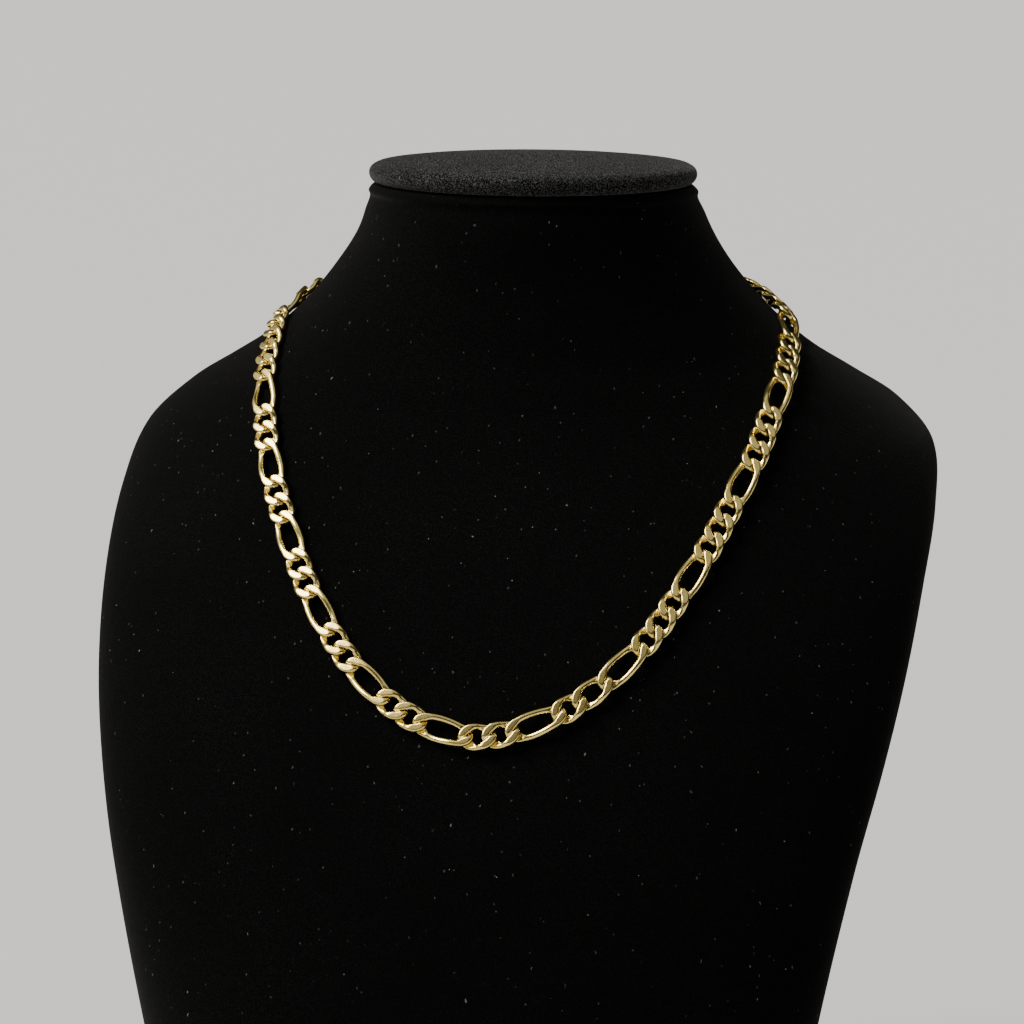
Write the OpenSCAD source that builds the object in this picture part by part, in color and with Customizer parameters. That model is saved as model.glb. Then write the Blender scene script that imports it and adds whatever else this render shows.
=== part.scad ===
// Figaro chain on a neck bust. Short and long links of flattened wire lie in one band round a
// padded display bust for necklaces, which has an oval cap on its neck. A plain clasp closes
// the chain behind the neck.
// Millimetres. +Z is up and the bust faces -Y. The origin is on the surface that the bust
// stands on, under the middle of the whole.

/* [Bust] */
// Height of the bust up to its cap
bust_h = 281.5; // [240:0.5:330]
// Width of the base
base_w = 142; // [110:1:180]
// Width over the shoulders
shoulder_w = 216; // [180:1:250]
// Width of the neck at its top
neck_w = 85.6; // [70:0.1:100]
// Depth of the neck at its top, front to back
neck_d = 71; // [60:0.5:84]
// How far the chest stands out in front of the neck's middle line
chest_d = 115; // [95:1:135]
// How far the base reaches behind the neck's middle line
base_back = 12; // [0:0.5:25]

/* [Cap] */
// Height of the cap's padded edge
cap_edge_h = 5; // [3:0.1:8]
// How far the middle of the cap rises over its edge
cap_dome_h = 1.4; // [0.5:0.1:4]
// How far the edge bulges out past the neck
cap_bulge = 0.4; // [0:0.1:2]
// Open seam between the cap and the neck
cap_seam = 0.4; // [0.2:0.1:1.5]

/* [Chain] */
// Width of a link, across the chain
link_w = 6.9; // [6:0.1:8.5]
// Thickness of the chain, from its back to its face
chain_t = 2.7; // [2.3:0.1:3.5]
// Length of chain that a short link takes up
short_pitch = 5.87; // [5.6:0.01:7.2]
// Length of chain that a long link takes up
long_pitch = 12.15; // [10.5:0.05:14]
// Length of chain that the one middling link takes up
mid_pitch = 8; // [6.5:0.1:9]
// Width of the wire along a link's sides
side_wire = 1.6; // [1.2:0.05:1.7]
// Width of the wire round a link's ends
end_wire = 1.7; // [1.4:0.05:1.9]
// Width of the wire at a link's four corners
corner_wire = 1.95; // [1.6:0.05:2.1]
// Space between two linked wires, one over the other
wire_gap = 0.6; // [0.45:0.05:0.7]
// Slack between two linked ends, along the chain
link_slack = 0.26; // [0.2:0.02:0.6]
// Space between the chain and the bust
chain_rest = 0.45; // [0.35:0.05:0.8]
// How far right of the front's middle line the chain's middle joint lies
middle_shift = 6.8; // [-10:0.1:15]

/* [Clasp] */
// Length of chain that the clasp takes up
clasp_span = 16; // [14:0.5:22]
// Width of the clasp's plate
clasp_w = 6.4; // [5.5:0.1:8]
// Thickness of the clasp's plate
clasp_t = 1.8; // [1.2:0.1:2.2]

/* [Hidden] */

VELVET = "#1c1b1d";
GOLD = "#e0b45c";

// Quality of the meshes
BUST_SIDES = 48;
LEVELS_PER_ROW = 2;
STATIONS = 14;
ROUTE_STEP = 1;

// The bust's sections from the base up. Columns: height as a share of the bust's height; share
// of the shoulders' width, and share of the base's width, where the neck's width has what is
// left; how far out the front lies, from the neck's (0) to the chest's (1); how far back the
// back lies, from the base's (0) to the neck's (1); and where the widest line lies between
// front (0) and back (1).
BUST_ROWS = [
    [0,     0,     1,     0.912, 0,     0.311],
    [0.142, 0.222, 0.778, 0.987, 0,     0.276],
    [0.284, 0.413, 0.587, 1,     0.04,  0.244],
    [0.427, 0.64,  0.36,  0.93,  0.13,  0.25],
    [0.515, 0.799, 0.201, 0.819, 0.25,  0.293],
    [0.586, 0.903, 0.097, 0.687, 0.38,  0.341],
    [0.657, 0.971, 0.029, 0.523, 0.55,  0.418],
    [0.717, 1,     0,     0.365, 0.68,  0.556],
    [0.767, 0.961, 0,     0.232, 0.81,  0.699],
    [0.803, 0.803, 0,     0.151, 0.89,  0.756],
    [0.828, 0.627, 0,     0.112, 0.96,  0.719],
    [0.852, 0.463, 0,     0.075, 1,     0.657],
    [0.884, 0.301, 0,     0.048, 1.02,  0.613],
    [0.924, 0.153, 0,     0.019, 1.02,  0.572],
    [0.959, 0.058, 0,     0.012, 1,     0.571],
    [1,     0,     0,     0,     1,     0.5]
];

// The cap's rings. Columns: height as a share of the edge's height, height as a share of the
// dome's, and how far the ring lies inside the edge, as a share of the neck's depth.
CAP_ROWS = [
    [0,    0,    0.03],
    [0.12, 0,    0.01],
    [0.4,  0,    0],
    [0.7,  0,    0.004],
    [0.9,  0,    0.02],
    [1,    0,    0.045],
    [1,    0.4,  0.11],
    [1,    0.8,  0.24],
    [1,    1,    0.4]
];

// The line on which the chain lies: the angle round the bust from its front, towards +X, and the
// height as a share of the bust's.
HANG = [
    [-180, 0.906], [-150, 0.902], [-120, 0.8945], [-95, 0.8795], [-80, 0.8662], [-66, 0.8535],
    [-54, 0.8323], [-44, 0.8075], [-36, 0.7726], [-30, 0.7185], [-24, 0.6596], [-17, 0.6066],
    [-9, 0.5695], [0, 0.5517], [9, 0.5608], [17, 0.5881], [24, 0.631], [30, 0.6916], [36, 0.7586],
    [44, 0.8023], [54, 0.8271], [66, 0.8483], [80, 0.8664], [95, 0.8788], [120, 0.8938],
    [150, 0.902]
];

// The links that the front shows, from the left shoulder over the front to the right one:
// S is a short link, L a long one and M the middling one. The chain's middle joint comes just
// before link MIDDLE_LINK. Behind the shoulders it goes on with three short links to a long one.
SEEN = str("L", "SSSSS", "L", repeated("SSL", 6), "SML", repeated("SSSL", 4));
MIDDLE_LINK = 23;
HIDDEN_CYCLE = "SSSL";

// Shape of a link: how square its outline is, how far round each corner stays at its full
// height, how high its sides and ends are against the wire's width, how wide the flat faces of
// the wire are against the wire, and how far a link rises over the chord between its ends, as a
// share of the rise of the surface there.
SHORT_ROUND = 1.8;
MID_ROUND = 1.85;
LONG_ROUND = 2.1;
CORNER_HOLD = 1.4;
SIDE_H = 1.03;
END_H = 0.76;
WIRE_FLAT = 0.45;
LINK_RISE = 0.3;
WIRE_SECTION = [[1, 0], [WIRE_FLAT, -1], [-WIRE_FLAT, -1], [-1, 0], [-WIRE_FLAT, 1], [WIRE_FLAT, 1]];
// Shape of the clasp's plate: how square its outline is, its points, its space to the links
// and its chamfer
CLASP_ROUND = 3;
CLASP_POINTS = 24;
CLASP_CLEAR = 0.5;
CLASP_CHAMFER = 0.5;

function repeated(word, times) = times < 1 ? "" : str(word, repeated(word, times - 1));
function unit(v) = v / norm(v);
function power(x, e) = sign(x) * pow(abs(x), e);
function total(list, count) = count < 1 ? 0 : list[count - 1] + total(list, count - 1);

// The row of a table that comes before a key
function row_before(rows, key, i = 0) =
    i >= len(rows) - 2 || rows[i + 1][0] > key ? i : row_before(rows, key, i + 1);

// A smooth curve through the rows of a table, whose first column is the key
function smooth(rows, key) =
    let (i = row_before(rows, key), last = len(rows) - 1,
         a = rows[max(i - 1, 0)], b = rows[i], c = rows[i + 1], d = rows[min(i + 2, last)],
         h = c[0] - b[0], t = (key - b[0]) / h,
         slope_b = (c - a) / (c[0] - a[0]) * h, slope_c = (d - b) / (d[0] - b[0]) * h)
    (2 * t ^ 3 - 3 * t ^ 2 + 1) * b + (t ^ 3 - 2 * t ^ 2 + t) * slope_b
    + (3 * t ^ 2 - 2 * t ^ 3) * c + (t ^ 3 - t ^ 2) * slope_c;

// Sections in millimetres: height, half width, front, back and widest line
SECTIONS = [for (row = BUST_ROWS)
    let (front = -neck_d / 2 - (chest_d - neck_d / 2) * row[3],
         back = base_back + (neck_d / 2 - base_back) * row[4])
    [row[0] * bust_h,
     (shoulder_w * row[1] + base_w * row[2] + neck_w * (1 - row[1] - row[2])) / 2,
     front, back, front + (back - front) * row[5]]];

// A point of a section at an angle from the front, and a point of the bust
function section_point(s, angle) =
    [s[1] * sin(angle),
     s[4] + (cos(angle) > 0 ? s[2] - s[4] : s[4] - s[3]) * cos(angle),
     s[0]];
function bust_point(angle, z) = section_point(smooth(SECTIONS, z), angle);
function bust_normal(angle, z) =
    unit(cross(bust_point(angle + 0.1, z) - bust_point(angle - 0.1, z),
               bust_point(angle, z + 0.1) - bust_point(angle, z - 0.1)));

// The chain's middle line on the bust, by angle: a point and its normal
chain_lift = chain_t / 2 + chain_rest;
ROUTE = [for (turn = [-1:1]) for (p = HANG) [p[0] + 360 * turn, p[1] * bust_h]];
function route_spot(angle) =
    let (z = smooth(ROUTE, angle)[1], n = bust_normal(angle, z))
    [bust_point(angle, z) + chain_lift * n, n];

// Distance along that line from the front, and back from a distance to a spot
ANGLES = [for (angle = [-220:ROUTE_STEP:220]) angle];
ROUTE_POINTS = [for (angle = ANGLES) route_spot(angle)[0]];
LENGTHS = [for (i = 0, s = 0; i < len(ANGLES);
                i = i + 1, s = i < len(ANGLES) ? s + norm(ROUTE_POINTS[i] - ROUTE_POINTS[i - 1]) : s) s];
LENGTH_BY_ANGLE = [for (i = [0:len(ANGLES) - 1]) [ANGLES[i], LENGTHS[i]]];
function length_at(angle) = lookup(angle, LENGTH_BY_ANGLE) - lookup(0, LENGTH_BY_ANGLE);
ANGLE_BY_LENGTH = [for (i = [0:len(ANGLES) - 1]) [length_at(ANGLES[i]), ANGLES[i]]];
function spot_at(length) = route_spot(lookup(length, ANGLE_BY_LENGTH));
loop_length = length_at(180) - length_at(-180);

// How much of the chain each link takes up, with as many links behind the shoulders as close
// the loop. These lie a little closer where whole links don't fill it.
function pitch(kind) = kind == "L" ? long_pitch : kind == "M" ? mid_pitch : short_pitch;
function cycle_kind(i) = HIDDEN_CYCLE[i % len(HIDDEN_CYCLE)];
function cycle_length(count) = total([for (i = [0:1:count - 1]) pitch(cycle_kind(i))], count);
function hidden_reach(count) = cycle_length(ceil(count / 2)) + cycle_length(floor(count / 2));
function hidden_count(length, count = 0) =
    hidden_reach(count) >= length ? count : hidden_count(length, count + 1);
hidden_length = loop_length - clasp_span - total([for (kind = SEEN) pitch(kind)], len(SEEN));
hidden_links = hidden_count(hidden_length);
hidden_ease = hidden_length / hidden_reach(hidden_links);
left_links = ceil(hidden_links / 2);
right_links = hidden_links - left_links;
KINDS = concat([for (i = [left_links - 1:-1:0]) cycle_kind(i)], [for (kind = SEEN) kind],
               [for (i = [0:1:right_links - 1]) cycle_kind(i)]);
function is_seen(i) = i >= left_links && i < left_links + len(SEEN);
PITCHES = [for (i = [0:len(KINDS) - 1]) pitch(KINDS[i]) * (is_seen(i) ? 1 : hidden_ease)];
middle_link = left_links + MIDDLE_LINK;
JOINTS = [for (i = [0:len(KINDS)]) middle_shift + total(PITCHES, i) - total(PITCHES, middle_link)];

// A link's wire in the link's own frame: along the chain, across it and out from the bust. Two
// opposite corners rise over the middle plane and two sink under it, so that each link's end
// passes over one corner of the next and under the other.
function link_path(length, round, i) =
    let (angle = i * 360 / STATIONS)
    [(length + end_wire + link_slack) / 2 * power(cos(angle), 2 / round),
     (link_w - side_wire) / 2 * power(sin(angle), 2 / round)];
function link_ring(length, round, i) =
    let (angle = i * 360 / STATIONS, p = link_path(length, round, i),
         way = link_path(length, round, i + 1) - link_path(length, round, i - 1),
         out = unit([way[1], -way[0]]),
         lean = max(-1, min(1, CORNER_HOLD * sin(2 * angle))), corner = lean ^ 2,
         plain_w = side_wire + (end_wire - side_wire) * cos(angle) ^ 2,
         plain_h = SIDE_H * side_wire * sin(angle) ^ 2 + END_H * end_wire * cos(angle) ^ 2,
         half_w = (plain_w + (corner_wire - plain_w) * corner) / 2,
         half_h = plain_h / 2 * (1 - corner) + (chain_t - wire_gap) / 4 * corner,
         middle_h = -(chain_t + wire_gap) / 4 * lean)
    [for (q = WIRE_SECTION)
        [p[0] + half_w * q[0] * out[0], p[1] + half_w * q[0] * out[1], middle_h + half_h * q[1]]];

// Points of a link's frame, laid on the bust between two joints. The frame turns with the
// surface from one joint to the next.
function laid(points, start, end) =
    let (a = spot_at(start), b = spot_at(end), m = spot_at((start + end) / 2),
         along = unit(b[0] - a[0]), span = norm(b[0] - a[0]), middle = (a[0] + b[0]) / 2,
         rise = m[1] * (m[0] - middle) * LINK_RISE)
    [for (p = points)
        let (f = p[0] / span + 0.5, n = a[1] + (b[1] - a[1]) * f, out = unit(n - along * (n * along)))
        middle + along * p[0] + cross(out, along) * p[1] + out * (p[2] + rise)];
function roundness(kind) = kind == "L" ? LONG_ROUND : kind == "M" ? MID_ROUND : SHORT_ROUND;
LINKS = [for (i = [0:len(KINDS) - 1])
    [for (j = [0:STATIONS - 1])
        laid(link_ring(PITCHES[i], roundness(KINDS[i]), j), JOINTS[i], JOINTS[i + 1])]];

// The clasp lies over the gap between the chain's two ends
clasp_start = JOINTS[len(KINDS)];
clasp_end = JOINTS[0] + loop_length;
CLASP_LOOP = [for (j = [0:STATIONS - 1])
    laid(link_ring(clasp_span, LONG_ROUND, j), clasp_start, clasp_end)];
plate_l = clasp_span - 2 * end_wire - link_slack - 2 * CLASP_CLEAR;
CLASP_PLATE = [for (layer = [[-1, CLASP_CHAMFER], [-1, 0], [1, 0], [1, CLASP_CHAMFER]])
    laid([for (i = [0:CLASP_POINTS - 1])
              let (angle = i * 360 / CLASP_POINTS)
              [(plate_l / 2 - layer[1]) * power(cos(angle), 2 / CLASP_ROUND),
               (clasp_w / 2 - layer[1]) * power(sin(angle), 2 / CLASP_ROUND),
               layer[0] * (clasp_t / 2 - CLASP_CHAMFER + layer[1])]],
         clasp_start, clasp_end)];

// The bust's and the cap's rings
LEVELS = concat([for (i = [0:len(SECTIONS) - 2], j = [0:LEVELS_PER_ROW - 1])
    SECTIONS[i] + (SECTIONS[i + 1] - SECTIONS[i]) * j / LEVELS_PER_ROW], [SECTIONS[len(SECTIONS) - 1]]);
BUST_RINGS = [for (level = LEVELS) [for (i = [0:BUST_SIDES - 1])
    bust_point(i * 360 / BUST_SIDES, level[0])]];
CAP_RINGS = [for (row = CAP_ROWS)
    let (inset = row[2] * neck_d - cap_bulge,
         z = bust_h + cap_seam + row[0] * cap_edge_h + row[1] * cap_dome_h)
    [for (i = [0:BUST_SIDES - 1])
        section_point([z, neck_w / 2 - inset, inset - neck_d / 2, neck_d / 2 - inset, 0],
                      i * 360 / BUST_SIDES)]];

// The middle of the whole, front to back
function reach(rings, way) = max([for (ring = rings, p = ring) p[1] * way]);
FRONT_Y = reach(BUST_RINGS, -1);
BACK_Y = max([for (rings = concat(LINKS, [CLASP_LOOP, CLASP_PLATE, BUST_RINGS, CAP_RINGS])) reach(rings, 1)]);
middle_y = (BACK_Y - FRONT_Y) / 2;

// A mesh through rings of points, closed by flat ends, or by its first ring if it is a loop
module ring_mesh(rings, is_loop = false) {
    sides = len(rings[0]);
    count = len(rings);
    steps = is_loop ? count : count - 1;
    bands = [for (i = [0:steps - 1], j = [0:sides - 1])
        let (a = i * sides, b = (i + 1) % count * sides, k = (j + 1) % sides)
        each [[a + j, b + k, a + k], [a + j, b + j, b + k]]];
    ends = is_loop ? [] : [[for (j = [0:sides - 1]) j], [for (j = [sides - 1:-1:0]) (count - 1) * sides + j]];
    polyhedron([for (ring = rings) each ring], concat(bands, ends), 4);
}

module in_place() {
    translate([0, -middle_y, 0]) children();
}

module neck_bust() {
    color(VELVET) in_place() ring_mesh(BUST_RINGS);
}

module neck_cap() {
    color(VELVET) in_place() ring_mesh(CAP_RINGS);
}

// Links of the chain from one number up to another
module links(first, last) {
    color(GOLD) in_place() for (i = [first:last]) ring_mesh(LINKS[i], true);
}

module chain_left() {
    links(0, middle_link - 1);
}

module chain_right() {
    links(middle_link, len(LINKS) - 1);
}

module clasp() {
    color(GOLD) in_place() {
        ring_mesh(CLASP_LOOP, true);
        ring_mesh(CLASP_PLATE);
    }
}

neck_bust();
neck_cap();
chain_left();
chain_right();
clasp();
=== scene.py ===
# %% [markdown]
# # A figaro chain on a velvet neck bust
#
# The object is a gold figaro chain, three short links to a long one, shown on a padded display
# bust under black velvet. The imported model gives its shape and its place. This script dresses
# that model: it works out finer surfaces from the same tables, gives them materials, and sets
# a floor, three soft lights and a camera round them. The CAD model is loaded first, and each new
# piece hides the CAD node that it stands for.

# %% Load the imported model
import math

import bpy
import numpy as np
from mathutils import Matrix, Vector


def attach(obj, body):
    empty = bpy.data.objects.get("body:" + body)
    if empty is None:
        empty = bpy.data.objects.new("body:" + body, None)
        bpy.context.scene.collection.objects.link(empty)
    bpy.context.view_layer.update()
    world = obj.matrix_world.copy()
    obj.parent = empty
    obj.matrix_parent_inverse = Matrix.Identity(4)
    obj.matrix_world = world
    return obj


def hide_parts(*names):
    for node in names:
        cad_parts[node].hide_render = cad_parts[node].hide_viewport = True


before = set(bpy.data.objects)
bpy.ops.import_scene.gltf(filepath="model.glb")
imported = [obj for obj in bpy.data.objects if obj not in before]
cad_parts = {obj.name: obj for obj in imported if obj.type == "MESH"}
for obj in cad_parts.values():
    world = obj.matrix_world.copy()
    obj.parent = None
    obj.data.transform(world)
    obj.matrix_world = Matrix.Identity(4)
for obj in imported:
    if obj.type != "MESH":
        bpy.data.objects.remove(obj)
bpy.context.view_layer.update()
print("nodes:", ", ".join(sorted(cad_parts)))

# %% [markdown]
# ## The camera
#
# The photograph is taken from a little above and a little to the right with a long lens, so
# the bust looks almost undistorted. A camera can be placed by trial, or worked out from points
# whose places are known. Here the chain's joints and the cap's tips gave its place, its aim and
# its focal length. The camera has no roll and no shift.

# %% Camera
CAMERA_PLACE = Vector((0.1861, -0.9990, 0.3990))
CAMERA_AIM = Vector((-0.0012, 0.0145, 0.1981))
CAMERA_LENS = 141.7
SENSOR_WIDTH = 36.0

camera_data = bpy.data.cameras.new("camera")
camera_data.lens = CAMERA_LENS
camera_data.sensor_width = SENSOR_WIDTH
camera = bpy.data.objects.new("camera", camera_data)
camera.location = CAMERA_PLACE
camera.rotation_euler = (CAMERA_AIM - CAMERA_PLACE).to_track_quat("-Z", "Y").to_euler()
bpy.context.scene.collection.objects.link(camera)
bpy.context.scene.camera = camera
print("camera to aim:", round((CAMERA_AIM - CAMERA_PLACE).length, 3), "m")

# %% [markdown]
# ## Small tools for shader nodes
#
# A material is a graph of nodes. A few helpers keep the graphs short to read: one adds a node
# and fills in its sockets by their names, and the rest are the nodes that come up most: a
# colour ramp, a noise and a product. A value for a socket is a number, a colour, or the output
# of another node.

# %% Helpers for nodes
def add_node(tree, kind, settings=None, **sockets):
    """Adds a node, sets its properties, and fills its input sockets by name."""
    node = tree.nodes.new(kind)
    for name, value in (settings or {}).items():
        setattr(node, name, value)
    for name, value in sockets.items():
        fill_socket(tree, node, name.replace("_", " "), value)
    return node


def fill_socket(tree, node, name, value):
    """Gives an input socket a constant, or joins it to another node's output."""
    if isinstance(value, bpy.types.NodeSocket):
        tree.links.new(value, node.inputs[name])
    else:
        node.inputs[name].default_value = value


def start_material(name):
    """A new material with its node tree emptied down to the output."""
    material = bpy.data.materials.new(name)
    material.use_nodes = True
    tree = material.node_tree
    for node in [n for n in tree.nodes if n.type == "BSDF_PRINCIPLED"]:
        tree.nodes.remove(node)
    output = next(n for n in tree.nodes if n.type == "OUTPUT_MATERIAL")
    return material, tree, output


def ramp(tree, factor, stops):
    """A colour ramp through stops of (place, colour); returns its colour output."""
    node = tree.nodes.new("ShaderNodeValToRGB")
    tree.links.new(factor, node.inputs["Fac"])
    elements = node.color_ramp.elements
    while len(elements) < len(stops):
        elements.new(0.5)
    for element, (place, colour) in zip(elements, stops):
        element.position = place
        element.color = (*colour, 1.0)
    return node.outputs["Color"]


def noise(tree, place, scale, detail, roughness=0.5):
    """The outputs of a noise: a share, Fac, and a colour."""
    return add_node(tree, "ShaderNodeTexNoise", Vector=place, Scale=scale, Detail=detail,
                    Roughness=roughness).outputs


def multiply(tree, a, b):
    """The product of two outputs."""
    product = add_node(tree, "ShaderNodeMath", {"operation": "MULTIPLY"})
    tree.links.new(a, product.inputs[0])
    tree.links.new(b, product.inputs[1])
    return product.outputs["Value"]


def grey(value):
    """The same share of red, green and blue."""
    return (value, value, value)


print("node helpers ready")

# %% [markdown]
# ## Floor and light
#
# A jeweller's picture is lit by large soft boxes, so that metal shows broad highlights and
# velvet keeps its depth. A flat face of metal is a small mirror, so the photograph itself says
# where its lights stand: the faces on the left mirror a strong one, to the left and half way
# up, a weaker one comes from lower on the left, and a faint one from overhead. Suns that look
# wide do the same work as soft boxes and light the floor evenly. The floor is one plain pale
# surface that reaches past the picture's edges.

# %% Floor
FLOOR_RADIUS = 30.0
FLOOR_SIDES = 64
FLOOR_COLOUR = (0.66, 0.655, 0.64, 1.0)

turn = np.linspace(0, 2 * np.pi, FLOOR_SIDES, endpoint=False)
rim = np.stack([FLOOR_RADIUS * np.cos(turn), FLOOR_RADIUS * np.sin(turn), 0 * turn], axis=-1)
floor_mesh = bpy.data.meshes.new("floor")
floor_mesh.from_pydata(rim.tolist(), [], [list(range(FLOOR_SIDES))])
floor = bpy.data.objects.new("floor", floor_mesh)
bpy.context.scene.collection.objects.link(floor)

floor_material, tree, output = start_material("pale_floor")
shader = add_node(tree, "ShaderNodeBsdfPrincipled", Base_Color=FLOOR_COLOUR, Roughness=0.85,
                  Specular_IOR_Level=0.2)
tree.links.new(shader.outputs["BSDF"], output.inputs["Surface"])
floor_mesh.materials.append(floor_material)
print("floor radius:", FLOOR_RADIUS, "m")

# %% Lights
LIGHTS = [
    # name, where it comes from, watts per square metre, how wide it looks in degrees, colour
    ("key", (-0.62, -0.25, 0.74), 5.5, 35.0, (1.0, 0.98, 0.95)),
    ("side", (-0.94, 0.16, 0.31), 0.45, 70.0, (1.0, 1.0, 1.0)),
    ("top", (0.18, -0.10, 0.97), 0.4, 60.0, (1.0, 1.0, 1.0)),
]
WORLD_COLOUR = (0.88, 0.88, 0.90, 1.0)
WORLD_STRENGTH = 0.04

for name, source, strength, spread, colour in LIGHTS:
    data = bpy.data.lights.new(name, "SUN")
    data.energy = strength
    data.angle = math.radians(spread)
    data.color = colour
    light = bpy.data.objects.new(name, data)
    light.rotation_euler = (-Vector(source)).to_track_quat("-Z", "Y").to_euler()
    bpy.context.scene.collection.objects.link(light)

world = bpy.data.worlds.new("studio")
world.use_nodes = True
background = world.node_tree.nodes["Background"]
background.inputs["Color"].default_value = WORLD_COLOUR
background.inputs["Strength"].default_value = WORLD_STRENGTH
bpy.context.scene.world = world
print("lights:", ", ".join(row[0] for row in LIGHTS))

# %% [markdown]
# ## A surface is a grid of points
#
# Every new piece is a function of two parameters. Numpy works the function out for the whole
# grid at once, and one helper turns the grid into a mesh. A grid can close on itself in either
# direction, as a ring does, or end in a pole, where the last row meets in one point.

# %% From a grid of points to a mesh
MM = 0.001


def grid_faces(rows, columns, closed_rows):
    """Corner numbers of the quads of a grid that is closed across its columns."""
    i = np.arange(rows if closed_rows else rows - 1)[:, None]
    j = np.arange(columns)[None, :]
    next_i, next_j = (i + 1) % rows, (j + 1) % columns
    corners = [i * columns + j, i * columns + next_j, next_i * columns + next_j, next_i * columns + j]
    return np.stack([np.broadcast_to(c, (i.size, j.size)) for c in corners], axis=-1).reshape(-1, 4)


def pole_faces(ring, pole):
    """Triangles from a ring of point numbers to one pole."""
    return np.stack([ring, np.full(len(ring), pole), np.roll(ring, -1)], axis=-1)


def fill_mesh(name, points, quads, triangles=()):
    """Puts arrays of points and faces into a new mesh and shades it smooth."""
    sizes = np.concatenate([np.full(len(quads), 4), np.full(len(triangles), 3)]).astype(np.int32)
    corners = np.concatenate([np.ravel(quads), np.ravel(triangles)]).astype(np.int32)
    mesh = bpy.data.meshes.new(name)
    mesh.vertices.add(len(points))
    mesh.vertices.foreach_set("co", np.ravel(points).astype(np.float32))
    mesh.loops.add(len(corners))
    mesh.loops.foreach_set("vertex_index", corners)
    mesh.polygons.add(len(sizes))
    mesh.polygons.foreach_set("loop_start", (np.cumsum(sizes) - sizes).astype(np.int32))
    mesh.polygons.foreach_set("use_smooth", np.ones(len(sizes), bool))
    mesh.update(calc_edges=True)
    mesh.validate()
    return mesh


def place_piece(name, mesh, material, slot, *nodes):
    """Links a mesh as a piece of the object that stands for the CAD nodes named."""
    piece = bpy.data.objects.new(name, mesh)
    mesh.materials.append(material)
    bpy.context.scene.collection.objects.link(piece)
    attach(piece, "root")
    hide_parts(*nodes)
    print(f"{name}: {len(mesh.polygons)} faces, size in mm {np.round(mesh_size(mesh) / MM, 2).tolist()}")
    return piece


def mesh_size(mesh):
    """How far a mesh reaches along each axis, in metres."""
    points = np.empty(len(mesh.vertices) * 3, np.float32)
    mesh.vertices.foreach_get("co", points)
    return np.ptp(points.reshape(-1, 3), axis=0)


print("mesh helpers ready")

# %% [markdown]
# ## The bust's shape
#
# A neck bust is moulded foam or board under cloth. Its sections are ovals, and how wide and
# how deep they are changes smoothly from the base over the shoulders to the neck. The table has
# the same numbers as the CAD model, in millimetres. It could be sculpted freely, but a table
# keeps the surface exactly where the chain needs it.

# %% Measures and the table of sections
BUST_H, BASE_W, SHOULDER_W = 281.5, 142.0, 216.0
NECK_W, NECK_D, CHEST_D, BASE_BACK = 85.6, 71.0, 115.0, 12.0
MIDDLE_Y = -37.9643

# height share, shoulder share, base share, front out to the chest, back in to the neck, widest line
BUST_ROWS = np.array([
    [0, 0, 1, 0.912, 0, 0.311], [0.142, 0.222, 0.778, 0.987, 0, 0.276],
    [0.284, 0.413, 0.587, 1, 0.04, 0.244], [0.427, 0.64, 0.36, 0.93, 0.13, 0.25],
    [0.515, 0.799, 0.201, 0.819, 0.25, 0.293], [0.586, 0.903, 0.097, 0.687, 0.38, 0.341],
    [0.657, 0.971, 0.029, 0.523, 0.55, 0.418], [0.717, 1, 0, 0.365, 0.68, 0.556],
    [0.767, 0.961, 0, 0.232, 0.81, 0.699], [0.803, 0.803, 0, 0.151, 0.89, 0.756],
    [0.828, 0.627, 0, 0.112, 0.96, 0.719], [0.852, 0.463, 0, 0.075, 1, 0.657],
    [0.884, 0.301, 0, 0.048, 1.02, 0.613], [0.924, 0.153, 0, 0.019, 1.02, 0.572],
    [0.959, 0.058, 0, 0.012, 1, 0.571], [1, 0, 0, 0, 1, 0.5],
])
print("sections in the table:", len(BUST_ROWS))


# %% A smooth curve through a table
def smooth_curve(rows, key):
    """Reads a table at any keys. Between two rows it is the cubic that meets both rows, and
    whose slope at a row is the slope from the row before to the row after."""
    key = np.asarray(key, float)
    row = np.clip(np.searchsorted(rows[:, 0], key, side="right") - 1, 0, len(rows) - 2)
    a, b = rows[np.maximum(row - 1, 0)], rows[row]
    c, d = rows[row + 1], rows[np.minimum(row + 2, len(rows) - 1)]
    gap = c[..., :1] - b[..., :1]
    t = (key[..., None] - b[..., :1]) / gap
    slope_b = (c - a) / (c[..., :1] - a[..., :1]) * gap
    slope_c = (d - b) / (d[..., :1] - b[..., :1]) * gap
    return ((2 * t**3 - 3 * t**2 + 1) * b + (t**3 - 2 * t**2 + t) * slope_b
            + (3 * t**2 - 2 * t**3) * c + (t**3 - t**2) * slope_c)


def bust_sections():
    """The table in millimetres: height, half width, front, back and widest line."""
    height, shoulder, base, front_share, back_share, widest = BUST_ROWS.T
    front = -NECK_D / 2 - (CHEST_D - NECK_D / 2) * front_share
    back = BASE_BACK + (NECK_D / 2 - BASE_BACK) * back_share
    half_width = (SHOULDER_W * shoulder + BASE_W * base + NECK_W * (1 - shoulder - base)) / 2
    return np.stack([height * BUST_H, half_width, front, back, front + (back - front) * widest], axis=-1)


SECTIONS = bust_sections()
print("widest section in mm:", SECTIONS[:, 1].max() * 2)


# %% A point and a normal of the bust
def oval_point(angle, height, half_width, front, back, widest):
    """x = half width * sin(angle). y = the widest line, less the depth in front of it or more
    the depth behind it, times cos(angle)."""
    turn = np.radians(angle)
    depth = np.where(np.cos(turn) > 0, widest - front, back - widest)
    return np.stack(np.broadcast_arrays(half_width * np.sin(turn), widest - depth * np.cos(turn), height),
                    axis=-1)


def bust_point(angle, height):
    """The bust's surface: the oval of the section at that height, at that angle from the front."""
    section = smooth_curve(SECTIONS, height)
    return oval_point(angle, *np.moveaxis(section, -1, 0))


def unit(v):
    """A vector divided by its length."""
    return v / np.linalg.norm(v, axis=-1, keepdims=True)


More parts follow.
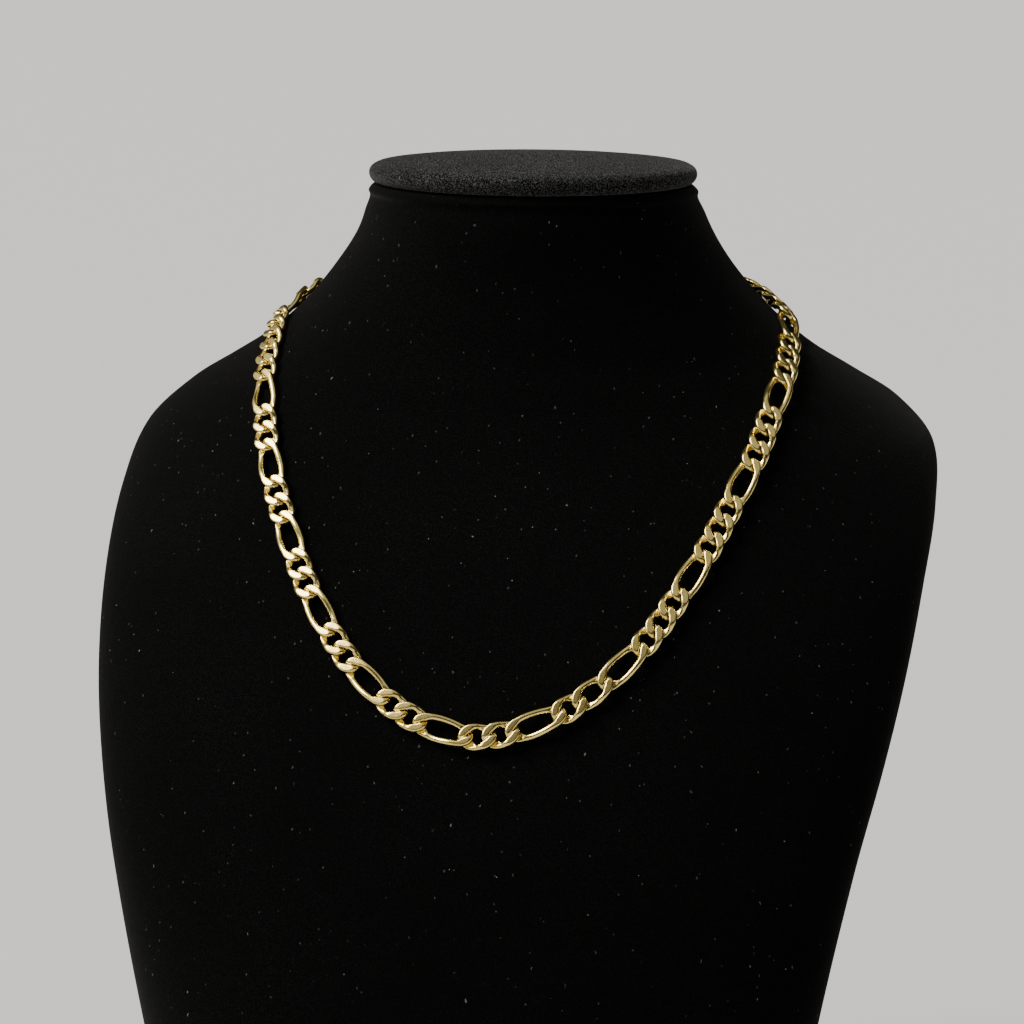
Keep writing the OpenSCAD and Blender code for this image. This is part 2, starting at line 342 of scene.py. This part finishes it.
def bust_normal(angle, height, step=0.1):
    """The cross product of the two steps along the surface, round it and up it."""
    angle, height = np.asarray(angle, float), np.asarray(height, float)
    round_it = bust_point(angle + step, height) - bust_point(angle - step, height)
    up_it = bust_point(angle, height + step) - bust_point(angle, height - step)
    return unit(np.cross(round_it, up_it))


def to_model(points):
    """From the bust's own millimetres to the model's metres."""
    return (points - np.array([0.0, MIDDLE_Y, 0.0])) * MM


print("chest point in m:", np.round(to_model(bust_point(0.0, 80.0)), 4).tolist())

# %% [markdown]
# ## Velvet
#
# Velvet is a cut pile: short upright hairs that swallow light when you look into them and
# glow when light grazes them. A sheen layer over a nearly black base does that on the bust. On
# the cap the base is a much lighter grey. That grey is painted light: it stands in for the light
# that grazes the cap's top, and the cloth is the same black velvet. A fine noise in the colour
# and in the bump stands for the tips of the pile, and a slow one for places where a hand has
# brushed it the other way. Small flecks stand for tufts that lie askew, and longer pale ones for
# the lint that black velvet always picks up. Both come from a pattern of cells, with one fleck in
# some of the cells, which needs no picture and no particle.

# %% Velvet material
PILE_SCALE, PILE_DEPTH = 3200.0, 0.0004
BRUSHED_SCALE = 24.0
BEND_SCALE, BEND_REACH = 700.0, 0.0011
SHEEN_TINT = (0.84, 0.84, 0.82, 1.0)
# what they are, cells per metre, stretch up, size in cells, how few, colour
FLECKS = [
    ("tufts", 620.0, 0.7, 0.17, 0.74, 0.045),
    ("hairs", 440.0, 0.3, 0.085, 0.66, 0.12),
    ("lint", 260.0, 1.0, 0.045, 0.70, 0.24),
]


def velvet_flecks(tree, place, scale, stretch, size, rare):
    """1 on flecks and 0 elsewhere: the distance to the middle of a cell under a size, in the
    cells whose random value is over a limit."""
    mapped = add_node(tree, "ShaderNodeMapping", Vector=place, Scale=(1.0, 1.0, stretch))
    cells = add_node(tree, "ShaderNodeTexVoronoi", {"feature": "F1"}, Vector=mapped.outputs["Vector"],
                     Scale=scale)
    near = ramp(tree, cells.outputs["Distance"], [(size * 0.55, grey(1.0)), (size, grey(0.0))])
    some = ramp(tree, cells.outputs["Color"], [(rare, grey(0.0)), (rare + 0.1, grey(1.0))])
    return multiply(tree, near, some)


def velvet(name, deep, brushed_and_painted_light, sheen, pile, lie):
    """Black pile: colour from deep to the lighter tone, bumped by the pile, with flecks over it. On
    the bust the lighter tone is the pile's own. On the cap it is mostly painted light: a grey that
    stands in for the light grazing the cap's top, with the pile's grain in it. The pile is drawn out
    along the way that it lies."""
    material, tree, output = start_material(name)
    place = add_node(tree, "ShaderNodeTexCoord").outputs["Object"]
    slow = noise(tree, place, BRUSHED_SCALE, 2.0)["Fac"]
    lying = add_node(tree, "ShaderNodeMapping", Vector=place, Scale=lie)
    fine = noise(tree, lying.outputs["Vector"], PILE_SCALE, 2.0, 0.6)["Fac"]
    tips = ramp(tree, fine, [(0.47, grey(0.0)), (0.63, grey(1.0))])
    worn = ramp(tree, slow, [(0.35, grey(0.6)), (0.65, grey(1.0))])
    colour = ramp(tree, multiply(tree, tips, worn), [(0.0, deep), (1.0, brushed_and_painted_light)])

    bent = add_node(tree, "ShaderNodeVectorMath", {"operation": "MULTIPLY_ADD"})
    tree.links.new(noise(tree, place, BEND_SCALE, 1.0)["Color"], bent.inputs[0])
    bent.inputs[1].default_value = (BEND_REACH, BEND_REACH, BEND_REACH)
    tree.links.new(place, bent.inputs[2])
    for _, scale, stretch, size, rare, tone in FLECKS:
        mask = velvet_flecks(tree, bent.outputs["Vector"], scale, stretch, size, rare)
        mix = add_node(tree, "ShaderNodeMix", {"data_type": "RGBA"}, Factor=mask, A=colour,
                       B=(*grey(tone), 1.0))
        colour = mix.outputs["Result"]

    bump = add_node(tree, "ShaderNodeBump", Strength=pile, Distance=PILE_DEPTH, Height=fine)
    shader = add_node(tree, "ShaderNodeBsdfPrincipled", Base_Color=colour, Roughness=1.0,
                      Specular_IOR_Level=0.03, Sheen_Weight=sheen, Sheen_Roughness=0.35,
                      Sheen_Tint=SHEEN_TINT, Normal=bump.outputs["Normal"])
    tree.links.new(shader.outputs["BSDF"], output.inputs["Surface"])
    return material


bust_velvet = velvet("black_velvet", deep=grey(0.0012), brushed_and_painted_light=(0.0052, 0.0052, 0.005), sheen=0.055,
                     pile=0.6, lie=(1.0, 1.0, 1.0))
# The cap's lighter tone is painted light. It is a grey many times lighter than the bust's, and it stands
# in for the light grazing the cap's top. Its grain is the pile's, and the cloth is the same black velvet
# as on the bust.
cap_velvet = velvet("black_velvet_cap_painted_light", deep=grey(0.0005), brushed_and_painted_light=(0.068, 0.068, 0.0655), sheen=0.15,
                    pile=0.9, lie=(1.0, 0.28, 1.0))
print("velvet:", bust_velvet.name, cap_velvet.name, "flecks:", ", ".join(row[0] for row in FLECKS))

# %% [markdown]
# ## The bust
#
# Cloth doesn't take a sharp edge: at the base it turns under with a small radius, and at the
# top it is rolled over a cord and turns in over the neck, which leaves a soft lip under the
# cap. The surface is the table's, with a profile that rounds both edges and swells at the lip,
# and it closes in a pole under the base and another on top of the neck.

# %% Bust surface
BUST_TURNS = 288
BUST_LEVELS, LIP_LEVELS = 222, 28
BASE_TURN, BASE_INSETS = 2.2, [45, 30, 16, 6]
NECK_TURN, TOP_INSETS = 1.6, [8, 24]
# out from the side, under the top, half height
LIP = (0.45, 1.9, 0.8)
TUCK = (-0.55, 3.6, 2.6)
LIP_REACH = 9.0
EDGE_STEPS = 6


def bust_profile():
    """Heights and insets of the bust's rings: a quarter circle in from the middle of the base, up
    the side, and a quarter circle in over the neck. The lip, and the tuck under it, each take
    out exp(-(d / half height)^2) off the inset, where d is the height over its middle."""
    quarter = np.linspace(0, np.pi / 2, EDGE_STEPS)
    side = np.concatenate([np.linspace(BASE_TURN, BUST_H - LIP_REACH, BUST_LEVELS)[:-1],
                           np.linspace(BUST_H - LIP_REACH, BUST_H - NECK_TURN, LIP_LEVELS)])
    height = np.concatenate([0 * np.array(BASE_INSETS), BASE_TURN * (1 - np.cos(quarter))[:-1], side,
                             BUST_H - NECK_TURN * (1 - np.sin(quarter))[1:], [BUST_H, BUST_H]])
    inset = np.concatenate([BASE_INSETS, BASE_TURN * (1 - np.sin(quarter))[:-1], 0 * side,
                            NECK_TURN * (1 - np.cos(quarter))[1:], TOP_INSETS])
    for out, under, half in (LIP, TUCK):
        inset -= out * np.exp(-((height - BUST_H + under) / half) ** 2)
    return height, inset


def bust_surface():
    """The oval of each ring's height, drawn in by the ring's inset along its own half width and
    its own depths."""
    height, inset = bust_profile()
    _, half_width, front, back, widest = np.moveaxis(smooth_curve(SECTIONS, height), -1, 0)
    angle = np.linspace(0, 360, BUST_TURNS, endpoint=False)
    return oval_point(angle[None, :], height[:, None], (half_width - inset)[:, None],
                      (front + inset)[:, None], (back - inset)[:, None], widest[:, None])


def closed_rings(rings):
    """Points, quads and triangles of a surface through rings from low to high, closed by a pole
    at each end."""
    rows, columns = rings.shape[:2]
    poles = np.stack([rings[0].mean(axis=0), rings[-1].mean(axis=0)])
    points = to_model(np.concatenate([rings.reshape(-1, 3), poles]))
    first, last = np.arange(columns), np.arange(columns) + (rows - 1) * columns
    triangles = np.concatenate([pole_faces(first, rows * columns),
                                pole_faces(last, rows * columns + 1)[:, ::-1]])
    return points, grid_faces(rows, columns, False), triangles


bust_mesh = fill_mesh("bust_velvet", *closed_rings(bust_surface()))
bust = place_piece("bust_velvet", bust_mesh, bust_velvet, "velvet", "neck_bust")

# %% [markdown]
# ## The cap
#
# A padded oval cap covers the top of the neck. Its edge is full and round, its top is almost
# flat, and a narrow seam parts it from the neck. It is turned like a cushion: one profile,
# carried round the oval.

# %% Cap surface
CAP_EDGE_H, CAP_DOME_H, CAP_BULGE, CAP_SEAM = 5.0, 1.4, 0.4, 0.4
CAP_RINGS = 60
# place along the profile, edge share, dome share, inset share
CAP_ROWS = np.array([
    [-1, 0, 0, 0.30], [0, 0, 0, 0.10], [1, 0, 0, 0.03], [2, 0.12, 0, 0.01], [3, 0.4, 0, 0],
    [4, 0.7, 0, 0.004], [5, 0.9, 0, 0.02], [6, 1, 0, 0.045], [7, 1, 0.4, 0.11],
    [8, 1, 0.8, 0.24], [9, 1, 1, 0.4], [10, 1, 1.04, 0.46],
])


def cap_surface():
    """The oval of the neck's top, drawn in and raised as the profile says."""
    along = np.linspace(CAP_ROWS[0, 0], CAP_ROWS[-1, 0], CAP_RINGS)
    _, edge, dome, inset = np.moveaxis(smooth_curve(CAP_ROWS, along), -1, 0)
    drawn_in = (np.maximum(inset, 0) * NECK_D - CAP_BULGE)[:, None]
    raised = np.clip(edge, 0, 1) * CAP_EDGE_H + np.clip(dome, 0, 1) * CAP_DOME_H
    height = (BUST_H + CAP_SEAM + raised)[:, None]
    angle = np.linspace(0, 360, BUST_TURNS, endpoint=False)[None, :]
    return oval_point(angle, height, NECK_W / 2 - drawn_in, drawn_in - NECK_D / 2,
                      NECK_D / 2 - drawn_in, 0.0)


cap_mesh = fill_mesh("cap_velvet", *closed_rings(cap_surface()))
cap = place_piece("cap_velvet", cap_mesh, cap_velvet, "velvet", "neck_cap")

# %% [markdown]
# ## Where the chain lies
#
# The chain's middle line is a height for each angle round the bust. The line is lifted off the
# cloth by half the chain's thickness and a little more. A table from distance to angle then
# lets each link be placed by the length of chain before it, as real links are.

# %% The chain's route
CHAIN_T, CHAIN_REST = 2.7, 0.45
ROUTE_STEP = 1.0
ROUTE_END = 220.0
HANG = np.array([
    [-180, 0.906], [-150, 0.902], [-120, 0.8945], [-95, 0.8795], [-80, 0.8662], [-66, 0.8535],
    [-54, 0.8323], [-44, 0.8075], [-36, 0.7726], [-30, 0.7185], [-24, 0.6596], [-17, 0.6066],
    [-9, 0.5695], [0, 0.5517], [9, 0.5608], [17, 0.5881], [24, 0.631], [30, 0.6916], [36, 0.7586],
    [44, 0.8023], [54, 0.8271], [66, 0.8483], [80, 0.8664], [95, 0.8788], [120, 0.8938],
    [150, 0.902],
])
ROUTE = np.concatenate([HANG + [turn, 0] for turn in (-360, 0, 360)]) * [1, BUST_H]


def route_spot(angle):
    """The point over the bust's surface at the route's height, and the surface's normal there."""
    height = smooth_curve(ROUTE, angle)[..., 1]
    normal = bust_normal(angle, height)
    return bust_point(angle, height) + (CHAIN_T / 2 + CHAIN_REST) * normal, normal


ANGLES = np.arange(-ROUTE_END, ROUTE_END + ROUTE_STEP / 2, ROUTE_STEP)
STEPS = np.linalg.norm(np.diff(route_spot(ANGLES)[0], axis=0), axis=-1)
LENGTHS = np.concatenate([[0], np.cumsum(STEPS)])
LENGTHS -= np.interp(0, ANGLES, LENGTHS)


def spot_at(length):
    """The route's point and normal at a distance from its front, by the table of lengths."""
    return route_spot(np.interp(length, LENGTHS, ANGLES))


loop_length = float(np.interp(180, ANGLES, LENGTHS) - np.interp(-180, ANGLES, LENGTHS))
print("loop of the chain:", round(loop_length, 3), "mm")

# %% [markdown]
# ## The order of the links
#
# A figaro chain repeats short links and one long link. The front of this one mostly has two
# short links to a long one on its left and three to a long one on its right, as the photograph
# shows. Behind the shoulders the three-to-one rhythm goes on up to the clasp, where the links
# lie a touch closer so that whole links fill the length.

# %% Links by kind and by length
PITCH = {"S": 5.87, "M": 8.0, "L": 12.15}
ROUND = {"S": 1.8, "M": 1.85, "L": 2.1}
SEEN = "L" + "SSSSS" + "L" + "SSL" * 6 + "SML" + "SSSL" * 4
HIDDEN_LEFT = "SSLSSSLSSS"
HIDDEN_RIGHT = "SSSLSSSLS"
# the link that starts the right half, and how far right of the bust's front its first joint lies
MIDDLE_LINK, MIDDLE_SHIFT = len(HIDDEN_LEFT) + 23, 6.8
CLASP_SPAN = 16.0

kinds = HIDDEN_LEFT + SEEN + HIDDEN_RIGHT
pitches = np.array([PITCH[kind] for kind in kinds])
is_seen = np.zeros(len(kinds), bool)
is_seen[len(HIDDEN_LEFT):len(HIDDEN_LEFT) + len(SEEN)] = True
hidden_length = loop_length - CLASP_SPAN - pitches[is_seen].sum()
pitches[~is_seen] *= hidden_length / pitches[~is_seen].sum()
joints = np.concatenate([[0], np.cumsum(pitches)])
joints += MIDDLE_SHIFT - joints[MIDDLE_LINK]
roundness = np.array([ROUND[kind] for kind in kinds])
print(len(kinds), "links, first joint", round(joints[0], 3), "last joint", round(joints[-1], 3))

# %% [markdown]
# ## One link
#
# A flat curb link starts as an oval ring of round wire. It is twisted, so that two opposite
# corners rise and two sink, and each link can pass over one neighbour and under the other. Then
# the whole chain is rolled and ground flat, front and back. The grinding leaves a flat face on
# every raised corner, which tapers to a point where the wire dives under the next link. It could
# be modelled as a flat washer, but then the tapering faces are missing. Here a round wire
# follows the twisted oval, it is wider at the corners where rolling has spread it, and every
# point that stands over the grinding plane is set down on it.

# %% Link measures
LINK_W, END_REACH = 6.9, 0.98
SIDE_WIRE_R, CORNER_OUT, CORNER_IN = 0.80, 1.0, 1.25
LEAN = 0.62
TWIST_HOLD = 1.5
DIVE_SHIFT = 11.0
CORNER_REACH = (0.6, 2.6)
FACE_CHANGE = 2.0
ARRIS = 0.035
LINK_RISE = 0.3
STATIONS = 80
WIRE_SIDES = 30


def power(x, exponent):
    """A power that keeps the sign of what is raised."""
    return np.sign(x) * np.abs(x) ** exponent


def soft_limit(x, limit, softness):
    """x where it is well under the limit, else the limit, with a rounded change between them."""
    return limit - softness * np.logaddexp(0, (limit - x) / softness)


def fade(x, low, high):
    """1 up to low, 0 from high on, and a smooth fall between them."""
    t = np.clip((x - low) / (high - low), 0, 1)
    return 1 - t * t * (3 - 2 * t)


print("wire of a link's sides in mm:", 2 * SIDE_WIRE_R, "ground to", CHAIN_T)


# %% The surface of a link
def link_path(length, roundness, turn):
    """The middle of the wire: an oval whose half length and half width are raised to a power of
    the cosine and the sine, so that a larger roundness makes a squarer oval."""
    half_length = length / 2 + END_REACH
    half_width = LINK_W / 2 - SIDE_WIRE_R
    return np.stack([half_length * power(np.cos(turn), 2 / roundness),
                     half_width * power(np.sin(turn), 2 / roundness)], axis=-1)


def link_surface(length, roundness):
    """Points of links in their own frames (along, across, out), for arrays of lengths. The wire's
    middle follows the oval, and it rises and sinks with the sine of twice the turn, a little late
    at the ends. Round it goes a circle that is drawn out at the corners: a little to the outside,
    and more to the inside on the half next to the ground face. Heights past half the chain's
    thickness are set down to it, with a rounded arris. Also whether each point is on a ground
    face, as 0 or 1."""
    turn = np.linspace(0, 2 * np.pi, STATIONS, endpoint=False)[None, :]
    length, roundness = length[:, None], roundness[:, None]
    path = link_path(length, roundness, turn)
    step = np.pi / STATIONS
    way = link_path(length, roundness, turn + step) - link_path(length, roundness, turn - step)
    outward = unit(np.stack([way[..., 1], -way[..., 0]], axis=-1))[..., None, :]
    late = turn - np.radians(DIVE_SHIFT) * np.cos(turn) ** 4
    twist = (np.tanh(TWIST_HOLD * np.sin(2 * late)) / np.tanh(TWIST_HOLD))[..., None]
    corner = fade(length / 2 - np.abs(path[..., 0]), *CORNER_REACH)[..., None]

    angle = np.linspace(0, 2 * np.pi, WIRE_SIDES, endpoint=False)
    by_face = 0.5 - 0.5 * np.tanh(FACE_CHANGE * twist * np.sin(angle))
    outer = SIDE_WIRE_R + (CORNER_OUT - SIDE_WIRE_R) * corner
    inner = outer + (CORNER_IN - CORNER_OUT) * corner * by_face
    reach = np.where(np.cos(angle) > 0, outer, inner) * np.cos(angle)
    flat_points = path[..., None, :] + reach[..., None] * outward
    height = outer * np.sin(angle) - LEAN * twist
    ground = soft_limit(height, CHAIN_T / 2, ARRIS)
    ground = -soft_limit(-ground, CHAIN_T / 2, ARRIS)
    points = np.concatenate([flat_points, ground[..., None]], axis=-1)
    return points, (np.abs(height) > CHAIN_T / 2).astype(float)


sample, _ = link_surface(np.array([PITCH["S"]]), np.array([ROUND["S"]]))
print("a short link in mm:", np.round(np.ptp(sample.reshape(-1, 3), axis=0), 2).tolist())


# %% Laying links on the bust
def lay_on_bust(points, start, end):
    """Sets points of a link's frame on the chord between its two joints. Its outward way turns
    evenly from the surface's normal at one joint to that at the other."""
    shape = (-1,) + (1,) * (points.ndim - 2) + (3,)
    (a, a_out), (b, b_out), (m, m_out) = (spot_at(s) for s in (start, end, (start + end) / 2))
    span = np.linalg.norm(b - a, axis=-1)
    along = ((b - a) / span[:, None]).reshape(shape)
    middle = (a + b) / 2
    rise = (m_out * (m - middle)).sum(axis=-1).reshape(shape[:-1]) * LINK_RISE
    share = (points[..., 0] / span.reshape(shape[:-1]) + 0.5)[..., None]
    normal = a_out.reshape(shape) + (b_out - a_out).reshape(shape) * share
    out = unit(normal - along * (normal * along).sum(axis=-1, keepdims=True))
    across = np.cross(out, np.broadcast_to(along, out.shape))
    return (middle.reshape(shape) + along * points[..., :1] + across * points[..., 1:2]
            + out * (points[..., 2] + rise)[..., None])


print("a joint on the bust in m:", np.round(to_model(spot_at(0.0)[0]), 4).tolist())

# %% [markdown]
# ## Linked ends are pressed together
#
# Rolling presses two linked ends against each other, until only a thin slanting seam shows
# between their flat faces. Seen from the front, one end keeps the upper left of the joint and
# the other keeps the lower right; at the back it is the other way round. Each link could be cut
# with the shape of its neighbour, but that is slow and leaves ragged edges. A seam through
# every joint does it: each end stays on its own side, and what stands past the seam is moved
# back to it, as soft metal gives way under a roller.

# %% Pressing linked ends
SEAM_TURN = 36.0
SEAM_GAP, LEVEL_GAP = 0.12, 0.08
SEAM_NEAR = (2.3, 3.3)
SEAM_SHOULDER, SHOULDER_ROUND = 0.28, 0.98


def end_frames(start, end, start_way, end_way):
    """For every station of a link, the joint of its own end: a point, the chain's way, the way
    across and the way out, and +1 at the last joint or -1 at the first one."""
    turn = np.linspace(0, 2 * np.pi, STATIONS, endpoint=False)
    side = np.where(np.cos(turn) > 0, 1.0, -1.0)[None, :, None, None]
    first, last = spot_at(start) + (start_way,), spot_at(end) + (end_way,)
    joint, out, way = (np.where(side > 0, b[:, None, None], a[:, None, None]) for a, b in zip(first, last))
    way = unit(way - out * (way * out).sum(axis=-1, keepdims=True))
    return joint, way, np.cross(out, way), out, side[..., 0]


def press_ends(points, start, end, start_way, end_way):
    """Keeps linked ends on their own sides of the seam through each joint. In front of the
    chain's middle plane the seam is turned by SEAM_TURN from the chain's way, behind it by as
    much the other way. A point past the seam is moved square to it or, where that is nearer, to
    its own side of the middle plane. Near the ground face the seam opens by a rounded shoulder."""
    joint, way, across, out, side = end_frames(start, end, start_way, end_way)
    away = points - joint
    u, v = side * (away * way).sum(axis=-1), side * (away * across).sum(axis=-1)
    z = (away * out).sum(axis=-1)
    new_u, new_v, new_z = u, v, z
    for half in (1.0, -1.0):
        square_u, square_v = np.sin(np.radians(SEAM_TURN)), -half * np.cos(np.radians(SEAM_TURN))
        depth, other = new_u * square_u + new_v * square_v, new_u * square_u - new_v * square_v
        shoulder = np.clip((half * new_z - CHAIN_T / 2 + SEAM_SHOULDER) / SEAM_SHOULDER, 0, 1)
        least = SEAM_GAP / 2 + SEAM_SHOULDER * (1 - np.sqrt(1 - SHOULDER_ROUND * shoulder ** 2))
        past = (half * new_z > -LEVEL_GAP / 2) & (depth < least)
        through = past & (other >= SEAM_GAP / 2) & (half * new_z + LEVEL_GAP / 2 < least - depth)
        push = np.where(past & ~through, least - depth, 0.0)
        new_u, new_v = new_u + push * square_u, new_v + push * square_v
        new_z = np.where(through, -half * LEVEL_GAP / 2, new_z)
    moved = ((side * (new_u - u))[..., None] * way + (side * (new_v - v))[..., None] * across
             + (new_z - z)[..., None] * out)
    return points + moved * fade(np.hypot(u, v), *SEAM_NEAR)[..., None]


clasp_start, clasp_end = joints[-1:], joints[:1] + loop_length
stops = np.concatenate([joints, clasp_end])
chords = unit(np.diff(spot_at(stops)[0], axis=0))
joint_ways = unit(chords + np.roll(chords, 1, axis=0))
print("joints:", len(joint_ways))

# %% [markdown]
# ## Satin gold
#
# The chain is yellow gold with a satin face: the ground faces are finely blasted, so they
# scatter the light, and the round of the wire is smoother. Metal takes its colour from its
# reflections, so the base colour is the gold's own, and the finish is in its roughness and in a
# very fine bump. The attribute that the link's surface carries tells the two apart.

# %% Gold material
GRAIN_SCALE, GRAIN_DEPTH = 7000.0, 0.00003
WEAR_SCALE = 420.0
WORN_GOLD, FULL_GOLD = (0.80, 0.62, 0.19), (0.92, 0.745, 0.27)
WIRE_ROUGH, FACE_ROUGH = 0.23, 0.27


def satin_gold(name):
    """Gold whose ground faces are blasted and whose round wire is smoother."""
    material, tree, output = start_material(name)
    place = add_node(tree, "ShaderNodeTexCoord").outputs["Object"]
    face = add_node(tree, "ShaderNodeAttribute", {"attribute_name": "ground"}).outputs["Fac"]
    grain = noise(tree, place, GRAIN_SCALE, 2.0, 0.65)["Fac"]
    wear = noise(tree, place, WEAR_SCALE, 3.0, 0.6)["Fac"]
    tone = ramp(tree, wear, [(0.30, WORN_GOLD), (0.70, FULL_GOLD)])
    pits = ramp(tree, grain, [(0.30, grey(0.72)), (0.55, grey(1.0))])
    blasted = add_node(tree, "ShaderNodeMix", {"data_type": "RGBA", "blend_type": "MULTIPLY"},
                       Factor=face, A=tone, B=pits)
    finish = add_node(tree, "ShaderNodeMapRange", Value=face, To_Min=WIRE_ROUGH, To_Max=FACE_ROUGH)
    bump = add_node(tree, "ShaderNodeBump", Strength=0.35, Distance=GRAIN_DEPTH, Height=grain)
    shader = add_node(tree, "ShaderNodeBsdfPrincipled", Base_Color=blasted.outputs["Result"], Metallic=1.0,
                      Roughness=finish.outputs["Result"], Normal=bump.outputs["Normal"])
    tree.links.new(shader.outputs["BSDF"], output.inputs["Surface"])
    return material


gold = satin_gold("satin_gold")
print("gold:", gold.name)

# %% [markdown]
# ## The chain
#
# All links of a half are worked out in one array and put into one mesh. The chain's left half
# and right half are one piece each, as they are in the CAD model.

# %% Chain halves
def wire_rings(points):
    """Points and quads of closed rings of wire, one ring after another."""
    links, rows, columns = points.shape[:3]
    one = grid_faces(rows, columns, True)[:, ::-1]
    quads = (one[None, :, :] + (np.arange(links) * rows * columns)[:, None, None]).reshape(-1, 4)
    return to_model(points).reshape(-1, 3), quads


def mark_ground(mesh, ground):
    """Keeps which points are on a ground face, as the attribute that the gold reads."""
    values = np.ravel(ground).astype(np.float32)
    mesh.attributes.new("ground", "FLOAT", "POINT").data.foreach_set("value", values)


def finished_links(first, last):
    """Links from one number up to another: their surfaces, laid on the bust and pressed."""
    rings, ground = link_surface(pitches[first:last], roundness[first:last])
    start, end = joints[first:last], joints[first + 1:last + 1]
    laid = lay_on_bust(rings, start, end)
    return press_ends(laid, start, end, joint_ways[first:last], joint_ways[first + 1:last + 1]), ground


for name, first, last in (("chain_left", 0, MIDDLE_LINK), ("chain_right", MIDDLE_LINK, len(kinds))):
    links, ground = finished_links(first, last)
    mesh = fill_mesh(name + "_links", *wire_rings(links))
    mark_ground(mesh, ground)
    place_piece(mesh.name, mesh, gold, "gold", name)

# %% [markdown]
# ## The clasp
#
# The clasp is out of sight behind the neck, so it is one plain piece: a long link between the
# chain's two ends, filled by a flat plate with softened edges.

# %% Clasp
CLASP_W, CLASP_T, CLASP_CHAMFER, CLASP_ROUND = 6.4, 1.8, 0.5, 3.0
CLASP_CLEAR, CLASP_END = 0.5, 1.88
PLATE_POINTS = 96
PLATE_INSETS = [2.4, 1.4]


def plate_surface():
    """Rings of the plate from its back to its face: a squarish oval, drawn in by a quarter
    circle at both faces, and closed by smaller ovals."""
    quarter = np.linspace(0, np.pi / 2, EDGE_STEPS)
    inset = CLASP_CHAMFER * (1 - np.sin(quarter))
    height = CLASP_T / 2 - CLASP_CHAMFER * (1 - np.cos(quarter))
    inset = np.concatenate([PLATE_INSETS, inset, inset[::-1], PLATE_INSETS[::-1]])
    height = np.concatenate([[-CLASP_T / 2] * 2, -height, height[::-1], [CLASP_T / 2] * 2])
    half_length = (CLASP_SPAN - 2 * CLASP_CLEAR) / 2 - CLASP_END
    turn = np.linspace(0, 2 * np.pi, PLATE_POINTS, endpoint=False)[None, :]
    along = (half_length - inset)[:, None] * power(np.cos(turn), 2 / CLASP_ROUND)
    across = (CLASP_W / 2 - inset)[:, None] * power(np.sin(turn), 2 / CLASP_ROUND)
    return np.stack([along, across, np.broadcast_to(height[:, None], along.shape)], axis=-1)


loop, loop_ground = link_surface(np.array([CLASP_SPAN]), np.array([ROUND["L"]]))
loop_laid = press_ends(lay_on_bust(loop, clasp_start, clasp_end), clasp_start, clasp_end,
                       joint_ways[-1:], joint_ways[:1])
plate_laid = lay_on_bust(plate_surface()[None], clasp_start, clasp_end)[0]
loop_points, loop_quads = wire_rings(loop_laid)
plate_points, plate_quads, plate_triangles = closed_rings(plate_laid)
clasp_points = np.concatenate([loop_points, plate_points])
clasp_quads = np.concatenate([loop_quads, plate_quads + len(loop_points)])
clasp_mesh = fill_mesh("clasp_gold", clasp_points, clasp_quads, plate_triangles + len(loop_points))
mark_ground(clasp_mesh, np.concatenate([loop_ground.ravel(), np.ones(len(plate_points))]))
place_piece("clasp_gold", clasp_mesh, gold, "gold", "clasp")
